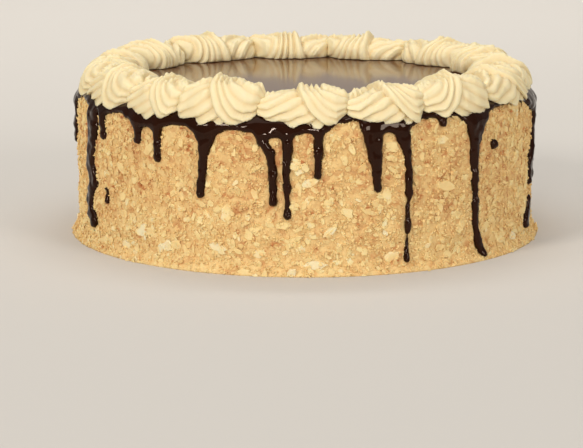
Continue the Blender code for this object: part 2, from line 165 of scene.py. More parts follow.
def a_length(name, description, default):
    """A setting in metres."""
    return bpy.props.FloatProperty(
        name=name, description=description, default=default, unit="LENGTH"
    )


def a_colour(name, description, default):
    """A setting that is a colour."""
    return bpy.props.FloatVectorProperty(
        name=name, description=description, default=default, subtype="COLOR"
    )


def a_number(name, description, default):
    """A setting that is a plain number, and a whole one where its default is whole."""
    kind = bpy.props.IntProperty if isinstance(default, int) else bpy.props.FloatProperty
    return kind(name=name, description=description, default=default)


class GlazeSettings(bpy.types.PropertyGroup):
    """Sizes and colours of the poured glaze."""

    cell: a_length("Cell", "Spacing of the glaze's mesh", 0.85 * MM)
    film: a_length("Film", "Thickness of the glaze over the nuts", 1.7 * MM)
    bead: a_length("Bead", "How far from its edge a drip is at its full thickness", 2.6 * MM)
    colour: a_colour("Colour", "Colour of the glaze", (0.0095, 0.0022, 0.0007))
    # Painted light: the flat top gets a lighter brown that stands for the brighter reflection it
    # catches
    lit_top_colour: a_colour(
        "Top colour", "Colour of the glaze's flat top, which catches more light",
        (0.085, 0.022, 0.0055),
    )


class SwirlSettings(bpy.types.PropertyGroup):
    """Sizes and colours of the piped swirls."""

    ridges: a_number("Ridges", "Ridges across a swirl from foot to foot", 6.5)
    groove: a_length("Groove", "Depth of the grooves between ridges", 1.8 * MM)
    lap: a_length("Lap", "How far one lobe stands over the other", 1.5 * MM)
    hook: a_length("Hook", "Height of the torn hook at the peak", 1.8 * MM)
    colour: a_colour("Colour", "Colour of the buttercream", (0.785, 0.663, 0.393))
    # Painted shade: a darker, yellower colour laid deep in the grooves and under the lapping lobe
    groove_shade_colour: a_colour("Hollow colour", "Colour deep in the grooves", (0.74, 0.55, 0.27))


class NutSettings(bpy.types.PropertyGroup):
    """Amounts and colours of the chopped nuts."""

    chips: a_number("Chips", "Golden chips round the side", 12500)
    flakes: a_number("Flakes", "Pale flakes round the side", 2200)
    broad_flakes: a_number("Broad flakes", "Large flakes round the side", 190)
    toasted: a_number("Toasted", "Dark toasted bits round the side", 1700)
    crumbs: a_number("Crumbs", "Fine crumbs round the side, more of them at its foot", 13000)
    colour: a_colour("Colour", "Colour of the golden chips", (0.755, 0.492, 0.195))
    pale_colour: a_colour("Pale colour", "Colour of the pale nuts", (0.84, 0.63, 0.285))
    blanched_colour: a_colour("Blanched colour", "Colour of the palest flakes", (0.82, 0.70, 0.43))
    # Partly painted shade: toasted nuts, darkened at the darkest end to stand for small shaded
    # crevices
    toasted_and_shade_colour: a_colour("Toasted colour", "Colour of the darkest nuts", (0.47, 0.15, 0.035))


class StageSettings(bpy.types.PropertyGroup):
    """Floor, light and camera."""

    floor_colour: a_colour("Floor colour", "Colour of floor and backdrop", (0.61, 0.575, 0.525))
    daylight: a_number("Daylight", "Strength of the light from all round", 0.24)
    lens: a_number("Lens", "Focal length of the camera in millimetres", 133.09)


def smooth(value, low, high):
    """0 below the low value, 1 above the high one, and an easy curve between."""
    part = np.clip((value - low) / (high - low), 0.0, 1.0)
    return part * part * (3 - 2 * part)


def eased(keys, share):
    """The values at these shares of the way along, eased from each key to the next."""
    share = np.asarray(share, float)
    value = np.full(share.shape, float(keys[0][1]))
    for (low, first), (high, second) in zip(keys, keys[1:]):
        value += (second - first) * smooth(share, low, high)
    return value


def bell(value, middle, width):
    """1 at the middle, and close to 0 from two widths away."""
    return np.exp(-((value - middle) / width) ** 2)


def centred(angle):
    """These angles, as ones from -180 to 180 degrees."""
    return np.mod(angle + 180, 360) - 180


def around(angle, radius, height):
    """Points at these angles round the cake, one row each."""
    turn = np.radians(angle)
    spots = (radius * np.sin(turn), -radius * np.cos(turn), height)
    return np.stack(np.broadcast_arrays(*spots), axis=-1)


def rough(spots, size, shift=0.0):
    """Soft noise from -1 to 1 at these points, with features of this size."""
    return np.array([noise.noise(Vector(spot) / size + Vector((shift, 0, 0))) for spot in spots])


def pebbled(spots, size):
    """Rounded lumps of this size at these points: 1 in a lump's middle, 0 between lumps."""
    tightness = 1.6
    near = [noise.voronoi(Vector(spot) / size)[0] for spot in spots]
    return np.array([1 - min(apart[0] * tightness, 1.0) ** 2 for apart in near])


def swell(spots):
    """How far the coat of nuts swells out from its outline at these points."""
    broad, fine, rise, shift = 18 * MM, 6 * MM, 0.8 * MM, 5.0
    return rough(spots, broad) * rise + rough(spots, fine, shift) * rise


def side_radius(height):
    """The coat's radius at these heights: shoulder, straight side and flared skirt."""
    centre, start = SHOULDER_CENTRE
    rise = np.clip(np.asarray(height) - start, 0.0, SHOULDER_RADIUS)
    shoulder = centre + np.sqrt(SHOULDER_RADIUS ** 2 - rise ** 2)
    flare = SKIRT_FLARE * np.clip(1 - np.asarray(height) / SKIRT_HEIGHT, 0.0, 1.0) ** 2
    return shoulder + flare


def travel(height):
    """How far down the glaze's outline a height is from where its shoulder starts."""
    start = SHOULDER_CENTRE[1]
    rise = np.clip((np.asarray(height, float) - start) / GLAZE_SHOULDER, 0.0, 1.0)
    straight = np.clip(start - np.asarray(height, float), 0.0, None)
    return GLAZE_SHOULDER * np.arccos(rise) + straight


def hidden_drips():
    """The drips at the back, where the solids have them, as stations from the rim down."""
    rng = random.Random(5)
    first, last, count = 106.0, 254.0, 12
    tips = (8, 24, 38, 50, 60)
    mouth, funnel_end, neck_top, above_bead = 76, 68, 64, 2
    flare, narrowing = 1.3, 0.7
    pitch = (last - first) / (count - 1)
    drips = []
    for number in range(count):
        angle = first + pitch * (number + rng.uniform(-0.3, 0.3))
        tip = rng.choice(tips) + rng.uniform(-4, 4)
        half = rng.uniform(2.0, 2.8)
        funnel = rng.uniform(3.2, 4.6)
        neck = narrowing * half
        drips.append((
            (angle, mouth, funnel * flare), (angle + 0.3, funnel_end, neck * flare),
            (angle - 0.2, (neck_top + tip) / 2, neck), (angle, tip + half + above_bead, neck),
            (angle, tip + half, half),
        ))
    return drips


def hidden_rim(drips):
    """The rim's heights round the back: low at each drip and arched between them."""
    low, beside, arch = 69.5, 74.5, 77.5
    aside = 2.6
    keys = []
    rng = random.Random(8)
    for drip, following in zip(drips, drips[1:] + [None]):
        angle = drip[0][0]
        keys.append((angle, low))
        if following:
            ahead = following[0][0]
            keys.append((angle + aside, beside + rng.uniform(-1, 1)))
            keys.append(((angle + ahead) / 2, arch + rng.uniform(-2.5, 1.5)))
            keys.append((ahead - aside, beside + rng.uniform(-1, 1)))
    return keys


def closeness(reach, blend):
    """Grows towards a form. Forms whose closeness is added up run into each other."""
    most = 60
    return np.exp(-np.clip(reach / blend, -most, most))


def glaze_field(angle, drop):
    """How far each point is outside the glaze's edge, in metres and negative inside it. A
    point is given by its angle and how far down the outline it is."""
    drips = hidden_drips()
    keys = sorted((float(centred(key)), height) for key, height in (*RIM, *hidden_rim(drips)))
    keys = [(keys[-1][0] - 360, keys[-1][1]), *keys, (keys[0][0] + 360, keys[0][1])]
    angle = centred(angle)
    rim = travel(eased(keys, angle) * MM)
    probe, blend = 0.2, 0.7 * MM
    slope = (travel(eased(keys, angle + probe) * MM) - rim) / (probe * DEGREE)
    total = closeness((drop - rim) / np.sqrt(1 + slope ** 2), blend)
    for drip in (*DRIPS, *drips):
        ends = [(key, float(travel(height * MM)), half * MM) for key, height, half in drip]
        for (key, high, half), (next_key, deep, next_half) in zip(ends, ends[1:]):
            x = centred(angle - key) * DEGREE
            y = drop - high
            run, fall = (next_key - key) * DEGREE, deep - high
            part = np.clip((x * run + y * fall) / (run ** 2 + fall ** 2), 0.0, 1.0)
            width = half + part * (next_half - half)
            reach = np.hypot(x - part * run, y - part * fall) - width
            total += closeness(reach, blend)
    return -blend * np.log(total)


class Wire:
    """A value on its way between shader nodes. Sums on it add Math nodes."""

    def __init__(self, graph, socket):
        self.graph = graph
        self.socket = socket

    def math(self, operation, *values):
        settings = {"operation": operation}
        return self.graph.node("ShaderNodeMath", settings, dict(enumerate(values)))

    def __add__(self, other):
        return self.math("ADD", self, other)

    def __mul__(self, other):
        return self.math("MULTIPLY", self, other)

    def __sub__(self, other):
        return self.math("SUBTRACT", self, other)

    def __rsub__(self, other):
        return self.math("SUBTRACT", other, self)

    __radd__ = __add__
    __rmul__ = __mul__


class Finish:
    """A material and the nodes that colour and roughen it."""

    # The sockets of a Mix node's colours, whose names its other kinds of value share
    mix_share, mix_first, mix_second, mix_result = 0, 6, 7, 2

    def __init__(self, name):
        self.material = bpy.data.materials.new(name)
        self.material.use_nodes = True
        self.tree = self.material.node_tree
        self.shader = self.tree.nodes["Principled BSDF"]

    def node(self, kind, settings=None, sockets=None, output=0):
        """A new node: its settings first, then the values or wires of its sockets."""
        made = self.tree.nodes.new(kind)
        for key, value in (settings or {}).items():
            if key == "stops":
                while len(made.color_ramp.elements) < len(value):
                    made.color_ramp.elements.new(0.5)
                for stop, (place, colour) in zip(made.color_ramp.elements, value):
                    stop.position = place
                    stop.color = (*colour, 1.0)
            else:
                setattr(made, key, value)
        for key, value in (sockets or {}).items():
            self.plug(made.inputs[key], value)
        return Wire(self, made.outputs[output])

    def plug(self, socket, value):
        if isinstance(value, Wire):
            self.tree.links.new(value.socket, socket)
        else:
            socket.default_value = value

    def spots(self):
        """Places on the piece, in metres."""
        return self.node("ShaderNodeTexCoord", output="Object")

    def level(self):
        """How high each place on the piece is."""
        return self.node("ShaderNodeSeparateXYZ", {}, {"Vector": self.spots()}, "Z")

    def stored(self, name):
        """A value that the mesh keeps under this name."""
        return self.node("ShaderNodeAttribute", {"attribute_name": name}, {}, "Fac")

    def ranged(self, value, low, high):
        """0 where the value is at its low end, 1 at its high end, and held beyond both."""
        sockets = {"Value": value, "From Min": low, "From Max": high}
        return self.node("ShaderNodeMapRange", {}, sockets)

    def noise(self, size, detail=2.0, roughness=0.5):
        """Soft noise from 0 to 1 with features of this size."""
        sockets = {
            "Vector": self.spots(), "Scale": 1 / size, "Detail": detail, "Roughness": roughness
        }
        return self.node("ShaderNodeTexNoise", {}, sockets)

    def mixed(self, share, first, second):
        """One colour into the other by this share."""
        first, second = [c if isinstance(c, Wire) else (*c, 1.0) for c in (first, second)]
        sockets = {self.mix_share: share, self.mix_first: first, self.mix_second: second}
        return self.node("ShaderNodeMix", {"data_type": "RGBA"}, sockets, self.mix_result)

    def set(self, **values):
        """Values or wires for the shader's own sockets, by their names with underscores."""
        for key, value in values.items():
            if key == "Base_Color" and not isinstance(value, Wire):
                value = (*value, 1.0)
            self.plug(self.shader.inputs[key.replace("_", " ")], value)

    def bumps(self, height, strength, depth):
        """Fine relief from a height wire."""
        sockets = {"Strength": strength, "Distance": depth, "Height": height}
        self.set(Normal=self.node("ShaderNodeBump", {}, sockets))


def glaze_finish(settings):
    """Dark and glossy, and browner and a little duller on the flat top, where the lighter brown is
    painted light standing for the brighter reflection the top catches.
    """
    finish = Finish("dark_chocolate")
    tone, warmth = tuple(settings.colour), 2.6
    flat_from, flat_to = 81.0 * MM, 81.7 * MM
    broad = finish.noise(9 * MM)
    body = finish.mixed(broad, tone, tuple(warmth * part for part in tone))
    flat = finish.ranged(finish.level(), flat_from, flat_to)
    # Painted light: the lighter colour on the flat top stands for the reflection it catches
    finish.set(Base_Color=finish.mixed(flat, body, tuple(settings.lit_top_colour)))
    finish.set(Roughness=0.05 + 0.04 * broad + flat * 0.05, Specular_IOR_Level=0.28)
    finish.set(IOR=1.42, Specular_Tint=(1.0, 0.80, 0.66, 1.0))
    finish.set(Coat_Weight=flat * 0.15, Coat_Roughness=0.08, Coat_IOR=1.5)
    finish.bumps(broad * (1 - flat), strength=0.12, depth=1.0 * MM)
    return finish.material


def cream_finish(settings):
    """Soft buttercream, painted darker and yellower in the grooves and under the lap as shade."""
    finish = Finish("buttercream")
    pale, pale_share = (0.80, 0.70, 0.46), 0.25
    drift = finish.noise(14 * MM)
    grain = finish.noise(0.7 * MM, detail=3.0, roughness=0.6)
    # Painted shade: the stored groove shade darkens the colour in the grooves and under the lap
    hollow = finish.stored("hollow")
    body = finish.mixed(hollow, tuple(settings.colour), tuple(settings.groove_shade_colour))
    finish.set(Base_Color=finish.mixed(drift * pale_share, body, pale))
    finish.set(Roughness=0.42 + 0.16 * grain, Subsurface_Weight=0.35, Subsurface_Scale=2.4 * MM)
    finish.set(Subsurface_Radius=(1.0, 0.85, 0.5), IOR=1.45)
    finish.bumps(grain, strength=0.22, depth=0.35 * MM)
    return finish.material


def nut_colour(finish, settings, tint, mottle):
    """The colour of a nut from its tint, 0 toasted to 1 blanched. Patches of the coat are more
    toasted than others, and low on the side the nuts are painted paler, as light bounced up from
    below."""
    by_mottle, by_patch, by_broad = 0.12, 0.6, 0.4
    by_bounce_light, by_amber = 0.12, 0.19
    patches = finish.noise(16 * MM)
    broad = finish.noise(5 * MM)
    # Painted light: nuts low on the side are lifted paler, standing for light bounced up from
    # below
    low = finish.ranged(finish.level(), 45 * MM, 5 * MM)
    amber = finish.ranged(finish.noise(7 * MM, detail=1.0), 0.56, 0.70)
    shift = (mottle - 0.5) * by_mottle + (patches - 0.5) * by_patch + (broad - 0.5) * by_broad
    place = tint + shift + low * by_bounce_light - amber * by_amber
    stops = (
        (0.0, tuple(settings.toasted_and_shade_colour)), (0.4, tuple(settings.colour)),
        (0.8, tuple(settings.pale_colour)), (1.0, tuple(settings.blanched_colour)),
    )
    return finish.node("ShaderNodeValToRGB", {"stops": stops}, {"Fac": place})


def nut_finish(name, settings, low, high):
    """A nut's finish; its tint runs over this part of the way from toasted to blanched."""
    finish = Finish(name)
    mottle = finish.noise(1.6 * MM, detail=3.0, roughness=0.6)
    tint = finish.stored("tint") * (high - low) + low
    colour = nut_colour(finish, settings, tint, mottle)
    finish.set(Base_Color=colour, Roughness=0.6 + 0.25 * mottle)
    finish.set(Subsurface_Weight=0.15, Subsurface_Scale=1.5 * MM)
    finish.set(Subsurface_Radius=(1.0, 0.6, 0.3))
    finish.bumps(mottle, strength=0.3, depth=0.35 * MM)
    return finish.material


def crust_finish(settings):
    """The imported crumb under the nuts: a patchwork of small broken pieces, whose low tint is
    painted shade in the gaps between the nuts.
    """
    finish = Finish("packed_nuts")
    # Painted shade: the crust shows only between the nuts, so its tint is held low to stand for
    # the shade in those gaps
    piece, darkest, spread = 2.6 * MM, 0.23, 0.27
    sockets = {"Vector": finish.spots(), "Scale": 1 / piece, "Randomness": 1.0}
    patch = finish.node("ShaderNodeTexVoronoi", {}, sockets, "Color")
    shade = finish.node("ShaderNodeSeparateColor", {}, {"Color": patch})
    mottle = finish.noise(1.3 * MM, detail=3.0, roughness=0.6)
    colour = nut_colour(finish, settings, shade * spread + darkest, mottle)
    finish.set(Base_Color=colour, Roughness=0.75)
    finish.bumps(mottle, strength=0.8, depth=0.6 * MM)
    return finish.material


def floor_finish(settings):
    """The matt floor and backdrop."""
    finish = Finish("pale_floor")
    finish.set(Base_Color=tuple(settings.floor_colour), Roughness=0.9)
    return finish.material


def add_piece(name, mesh, look, slot, *nodes):
    """Puts a finished mesh in the scene as a piece of the cake."""
    piece = bpy.data.objects.new(name, mesh)
    bpy.context.scene.collection.objects.link(piece)
    mesh.materials.append(look)
    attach(piece, ROOT)
    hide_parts(*nodes)


def mesh_of(bm, name):
    """Turns a bmesh into a smooth mesh."""
    for face in bm.faces:
        face.smooth = True
    mesh = bpy.data.meshes.new(name)
    bm.to_mesh(mesh)
    bm.free()
    return mesh


def grown_verts(grown):
    """The vertices that an extrusion has added."""
    return [part for part in grown["geom"] if isinstance(part, bmesh.types.BMVert)]


def lattice(columns, rows):
    """A flat grid in a bmesh, and each vertex's two shares from 0 to 1."""
    bm = bmesh.new()
    bmesh.ops.create_grid(bm, x_segments=columns, y_segments=rows, size=0.5)
    shares = np.array([tuple(vert.co)[:2] for vert in bm.verts]) + 0.5
    return bm, shares[:, 0], shares[:, 1]


def at_edge(share):
    """Whether each share of a lattice lies on its first or its last line."""
    return np.abs(share - 0.5) > 0.4999


def move_to(bm, spots):
    for vert, spot in zip(bm.verts, spots):
        vert.co = spot


def glaze_drops(cell):
    """The rows of the glaze's lattice: how far down its outline each one is. They are wide
    apart on the flat top and one cell apart from there on."""
    centre = SHOULDER_CENTRE[0]
    inner = [-share * centre for share in (1.0, 0.8, 0.55, 0.3, 0.16)]
    first, last = -12 * MM, float(travel(0.8 * MM))
    count = int((last - first) / cell)
    return np.array(inner + list(np.linspace(first, last, count + 1)))


def glaze_place(angle, drop, offset):
    """Points at these angles and drops, this far out from the coat's own outline."""
    centre, start = SHOULDER_CENTRE
    quarter = GLAZE_SHOULDER * math.pi / 2
    turn = np.clip(drop, 0, quarter) / GLAZE_SHOULDER
    bend = SHOULDER_RADIUS + offset
    radius = centre + np.minimum(drop, 0) + bend * np.sin(turn)
    height = start + bend * np.cos(turn) - np.clip(drop - quarter, 0, None)
    radius += SKIRT_FLARE * np.clip(1 - height / SKIRT_HEIGHT, 0, 1) ** 2 * (drop > quarter)
    return around(angle, radius, height)


class CAKE_OT_pour_glaze(bpy.types.Operator):
    """Pour the chocolate glaze over the top and let it drip down the side"""

    bl_idname = "cake.pour_glaze"
    bl_label = "Pour glaze"

    def settled(self, spots, angle, drop, cell):
        """Moves the points nearest to the glaze's edge onto it. Gives all points' angles and
        drops, how far they are outside the edge, and which of them the glaze covers."""
        always, step, nearest, least = 4 * MM, 0.2 * MM, 0.62 * cell, 0.2
        wobble = rough(spots, 5 * MM) * 0.5 * MM + rough(spots, 1.8 * MM) * 0.25 * MM

        def edge(angle, drop):
            return glaze_field(angle, drop) + wobble

        inside = drop < always
        field = edge(angle, drop)
        slope_x = (edge(angle + step / DEGREE, drop) - field) / step
        slope_y = (edge(angle, drop + step) - field) / step
        steep = np.maximum(slope_x ** 2 + slope_y ** 2, least)
        near = (np.abs(field) < nearest) & ~inside
        angle = angle - np.where(near, field * slope_x / steep / DEGREE, 0.0)
        drop = drop - np.where(near, field * slope_y / steep, 0.0)
        field = np.where(near, 0.0, field)
        return angle, drop, field, (field < 0.5 * step) | inside

    def thickness(self, settings, spots, drop, field):
        """How thick the glaze is: level on the top, domed in from its edges, and lumpy and
        beaded where it has run down over the nuts."""
        rim_film, lump_rise, bead_rise = 0.3 * MM, 0.75 * MM, 0.65 * MM
        deep = np.clip(-field / settings.bead, 0.0, 1.0)
        dome = np.sqrt(deep * (2 - deep))
        top = smooth(-drop, -14 * MM, 0.0)
        beads = rough(spots, 3.2 * MM, 9.0) * bead_rise * smooth(drop, 9 * MM, 18 * MM)
        lumps = rough(spots, 7 * MM, 3.0) * lump_rise + beads
        side = rim_film + settings.film * dome + lumps * (1 - top)
        return side * (1 - top) + (GLAZE_TOP - CAKE_HEIGHT) * top

    def execute(self, context):
        settings = context.scene.cake_glaze
        sunk = -1.0 * MM
        drops = glaze_drops(settings.cell)
        columns = int(math.tau * CAKE_RADIUS / settings.cell)
        bm, across, down = lattice(columns, len(drops) - 1)
        row = np.rint(down * (len(drops) - 1)).astype(int)
        angle, drop = across * 360 - 180, drops[row]
        spots = glaze_place(angle, drop, 0.0)
        angle, drop, field, kept = self.settled(spots, angle, drop, settings.cell)

        bm.verts.index_update()
        away = [face for face in bm.faces if not all(kept[vert.index] for vert in face.verts)]
        order = bm.verts.layers.int.new("order")
        for vert in bm.verts:
            vert[order] = vert.index
        bmesh.ops.delete(bm, geom=away, context="FACES")
        lone = [vert for vert in bm.verts if not vert.link_faces]
        bmesh.ops.delete(bm, geom=lone, context="VERTS")
        over = set(grown_verts(bmesh.ops.extrude_face_region(bm, geom=list(bm.faces))))
        # The extrusion leaves walls inside, where the lattice closes on itself
        joint = at_edge(across) | (row == 0)
        walls = [face for face in bm.faces if all(joint[vert[order]] for vert in face.verts)]
        bmesh.ops.delete(bm, geom=walls, context="FACES_ONLY")

        outer = glaze_place(angle, drop, self.thickness(settings, spots, drop, field))
        inner = glaze_place(angle, drop, np.full(len(drop), sunk))
        for vert in bm.verts:
            vert.co = (outer if vert in over else inner)[vert[order]]
        bmesh.ops.remove_doubles(bm, verts=bm.verts, dist=MERGE)
        bmesh.ops.recalc_face_normals(bm, faces=bm.faces)
        mesh = mesh_of(bm, "poured_glaze")
        mesh.attributes.remove(mesh.attributes["order"])
        add_piece("poured_glaze", mesh, glaze_finish(settings), "chocolate", "chocolate_glaze")
        return {"FINISHED"}


def cream_seat(radius):
    """The height of the glaze under a swirl at these radii."""
    centre, start = SHOULDER_CENTRE
    bend = GLAZE_SHOULDER + 0.2 * MM
    reach = np.clip(radius - centre, 0.0, bend)
    return start + np.sqrt(bend ** 2 - reach ** 2)


def ridged(phase, seed, settings, crest):
    """Relief of the piped ridges: how far out the surface is, and how deep in a groove, which sets
    the painted shade there. Each ridge has a rank from 0 to 1, by which some stand higher and end
    in sharper teeth at the crest."""
    lean, fullness, hollowing = 1.3, 0.8, 1.3
    unevenness, strand_rise, tooth_rise = 1.3 * MM, 0.16 * MM, 3.6 * MM
    strands, strand_shift = 3.4, 5
    saw = np.mod(phase, 1.0)
    bulge = np.sin(np.pi * saw ** lean) ** fullness
    rank = np.mod(np.sin(np.floor(phase) * 12.9898 + seed * 78.233) * 43758.5453, 1.0)
    relief = -settings.groove * (0.7 + 0.5 * rank) * (1 - bulge)
    relief += (rank - 0.5) * unevenness * bulge
    relief += strand_rise * np.sin(math.tau * strands * saw + strand_shift * rank) * bulge
    relief += tooth_rise * crest * (saw - 0.5) * (0.15 + 0.95 * rank ** 1.4)
    return relief, (1 - bulge) ** hollowing


def swirl_relief(settings, along, turn, peak, seed):
    """How far a swirl's surface is in or out from its plain form, how much painted shade its
    grooves and the tucked lobe take, and how near it is to the torn crest. The upper lobe starts
    at the peak and laps over the lower."""
    ridges = settings.ridges
    lift = np.degrees(turn)
    crest = bell(lift, 88, 17)
    # How far down from the crest each side is: 1 at its foot, and a little more under it
    crest_lift, quarter, most = 90, 90, 1.4
    outer = np.clip((crest_lift - lift) / quarter, 0, most)
    inner = np.clip((lift - crest_lift) / quarter, 0, most)

    # The edge of the upper lobe, which swings away from the peak towards both feet
    swing_out, swing_in = 0.23, 0.06
    past = along - (peak + swing_out * outer ** 2 - swing_in * inner)
    over = smooth(past, -0.007, 0.011)

    # The ridges fan out over the upper lobe, and run slanting over the lower one
    across = turn / math.pi
    fan = smooth(past, 0.0, 0.26 + 0.34 * inner)
    spread = ridges * across * (1 - 0.45 * inner) * fan
    upper = 0.24 + (3.0 + 3.6 * outer + 0.8 * inner) * past + spread
    slant = (4.6 + 1.4 * inner) * along
    lower = ridges * across * (1 - 0.2 * inner) - slant + 0.37 + seed * 0.31
    calmer = 0.35 + 0.65 * smooth(past, 0.02, 0.24)
    top, top_shade = ridged(upper, seed, settings, crest * calmer)
    under, under_shade = ridged(lower, seed + 0.5, settings, crest)

    # The lower lobe tucks in under the upper one, which has a torn hook at its peak. The tuck is
    # also painted with shade.
    tuck_depth, tuck_length, tuck_shade = 1.8 * MM, 0.035, 0.6
    tuck = np.exp(np.minimum(past, 0) / tuck_length)
    nub = bell(past, 0.05, 0.045) * bell(lift, 93, 17)
    relief = over * (top + settings.lap + settings.hook * nub)
    relief += (1 - over) * (under - tuck_depth * tuck)
    tucked = np.clip(under_shade + tuck_shade * tuck, 0, 1)
    return relief, over * top_shade + (1 - over) * tucked, crest


class CAKE_OT_pipe_swirls(bpy.types.Operator):
    """Pipe the ring of buttercream swirls round the edge of the top"""

    bl_idname = "cake.pipe_swirls"
    bl_label = "Pipe swirls"

    # Stations along a swirl and samples round it
    stations = 104
    samples = 116
    # The shares of a swirl's length over which its nose rounds off, and its tail narrows and
    # sinks, and the share where the tables of its form have the peak
    nose_share, narrow_share, sink_share = 0.08, 0.20, 0.09
    table_peak = 0.42
    # How far a swirl reaches over its neighbours, in degrees
    before, after = 1.2, 2.0
    # In millimetres: how high its widest line is over the glaze, how much of the crest's
    # height lies under that line and in the relief, and the least height above the line
    spring, taken_up, least = 2.6, 4.6, 1.0
    # How deep it reaches below its widest line, at its outer side and at its inner side
    depth_out, depth_in = 11 * MM, 6.5 * MM
    # Where its outer side begins to droop, in millimetres, and by how much
    droop_from, droop = 117, 0.065
    # The powers that square off its section sideways and upwards, and how much wider its
    # outer side is
    square_out, square_up, outer_width = 0.92, 0.95, 1.07
    # In millimetres: the size and rise of soft lumps and of the torn surface, and how much
    # more it is torn on the crest
    lump, lump_rise = 7, 0.9
    tear, tear_rise, crest_tear = 1.5, 0.16, 1.5

    def pipe(self, settings, look, number):
        start, crest, peak, outward, full, first_on_top = SWIRLS[number]
        following = SWIRLS[(number + 1) % len(SWIRLS)][0]
        arc = (following - start) % 360
        bm, along, round_it = lattice(self.stations, self.samples)
        turn = round_it * math.tau - math.pi / 2
        nose = np.sqrt(1 - (1 - np.clip(along / self.nose_share, 0, 1)) ** 2)
        end = nose * np.clip((1 - along) / self.narrow_share, 0, 1) ** 0.5
        sink = nose * np.clip((1 - along) / self.sink_share, 0, 1) ** 0.5

        share = along ** (math.log(self.table_peak) / math.log(peak))
        width = eased(HALF_WIDTH, share) * MM * end
        middle = RING_RADIUS + (eased(OUTWARD_SHIFT, share) + outward) * MM
        above = crest * (1 - (1 - eased(CREST_SHARE, share)) * (1 - full)) - self.taken_up
        above = np.maximum(above, self.least) * MM * sink
        if first_on_top:
            relief, hollow, ragged = swirl_relief(settings, 1 - along, turn, 1 - peak, number)
        else:
            relief, hollow, ragged = swirl_relief(settings, along, turn, peak, number)
        relief = relief * np.minimum(end * 1.2, 1.0)

        spring = GLAZE_TOP + self.spring * MM
        reach, rise = np.cos(turn), np.sin(turn)
        reach = np.sign(reach) * np.abs(reach) ** self.square_out
        rise = np.sign(rise) * np.abs(rise) ** self.square_up
        depth = np.where(reach > 1e-6, self.depth_out, self.depth_in) * end
        tall = np.where(rise > 0, above, depth)
        wide = np.where(reach > 0, width * self.outer_width, width)
        angle = start - self.before + (arc + self.before + self.after) * along
        plain = around(angle, middle + wide * reach, spring + tall * rise)
        relief = relief + rough(plain, self.lump * MM, number) * self.lump_rise * MM * end
        torn = rough(plain, self.tear * MM, number) * MM
        torn = torn * (self.tear_rise + self.crest_tear * ragged)
        relief = relief + torn * (1 - hollow) * end

        radius = middle + (wide + relief) * reach
        height = spring + (tall + relief * (rise > -0.3)) * rise
        beyond = np.clip(radius / MM - self.droop_from, 0, None)
        height = np.maximum(height - self.droop * beyond ** 2 * MM, cream_seat(radius))
        move_to(bm, around(angle, radius, height))
        # Painted shade: each point keeps how deep it lies in a groove or under the lap, for the
        # colour to darken
        layer = bm.verts.layers.float.new("hollow")
        for vert, value in zip(bm.verts, np.clip(hollow, 0, 1)):
            vert[layer] = value
        edges = at_edge(along) | at_edge(round_it)
        seam = [vert for vert, meets in zip(bm.verts, edges) if meets]
        bmesh.ops.remove_doubles(bm, verts=seam, dist=SEAM_MERGE)
        bmesh.ops.recalc_face_normals(bm, faces=bm.faces)
        node = f"swirl_{number + 1:02d}"
        add_piece(f"piped_{node}", mesh_of(bm, f"piped_{node}"), look, "buttercream", node)

    def execute(self, context):
        settings = context.scene.cake_swirls
        look = cream_finish(settings)
        for number in range(len(SWIRLS)):
            self.pipe(settings, look, number)
        return {"FINISHED"}


def shape_flake(bm, rng):
    """A thin flake with an uneven outline and a slight bend."""
    sides, radius, thickness, bevel, cupping = 11, 0.46, 0.10, 0.84, 0.25
    bmesh.ops.create_circle(bm, cap_ends=True, segments=sides, radius=radius)
    raised = grown_verts(bmesh.ops.extrude_face_region(bm, geom=list(bm.faces)))
    bmesh.ops.translate(bm, verts=raised, vec=(0, 0, thickness))
    bmesh.ops.scale(bm, verts=raised, vec=(bevel, bevel, 1))
    long, wide = rng.uniform(0.9, 1.3), rng.uniform(0.5, 0.95)
    bent = rng.uniform(-0.2, 0.2)
    pulls = [rng.uniform(0.70, 1.16) for _ in range(sides)]
    for vert in bm.verts:
        pull = pulls[round(math.atan2(vert.co.y, vert.co.x) / math.tau * sides) % sides]
        vert.co.x *= long * pull
        vert.co.y *= wide * pull
        vert.co.z += bent * vert.co.x ** 2 - cupping * vert.co.y ** 2


def shape_chip(bm, rng):
    """A chopped bit with a few flat faces."""
    corners, thickness = 9, 0.62
    for _ in range(corners):
        spot = Vector([rng.gauss(0, 1) for _ in range(3)]).normalized()
        bm.verts.new(spot * rng.uniform(0.44, 0.58))
    bmesh.ops.convex_hull(bm, input=bm.verts)
    inside = [vert for vert in bm.verts if not vert.link_faces]
    bmesh.ops.delete(bm, geom=inside, context="VERTS")
    bmesh.ops.scale(bm, verts=bm.verts, vec=(1, rng.uniform(0.7, 0.9), thickness))


def nut_shapes(kind, rng):
    """A few small shapes of one kind of nut, as arrays of corners and triangles, about one
    unit across."""
    count = 12
    shapes = []
    for _ in range(count):
        bm = bmesh.new()
        if kind == "flake":
            shape_flake(bm, rng)
        else:
            shape_chip(bm, rng)
        bmesh.ops.recalc_face_normals(bm, faces=bm.faces)
        bmesh.ops.triangulate(bm, faces=bm.faces)
        bm.verts.index_update()
        corners = np.array([tuple(vert.co) for vert in bm.verts])
        faces = np.array([[vert.index for vert in face.verts] for face in bm.faces])
        shapes.append((corners, faces))
        bm.free()
    return shapes


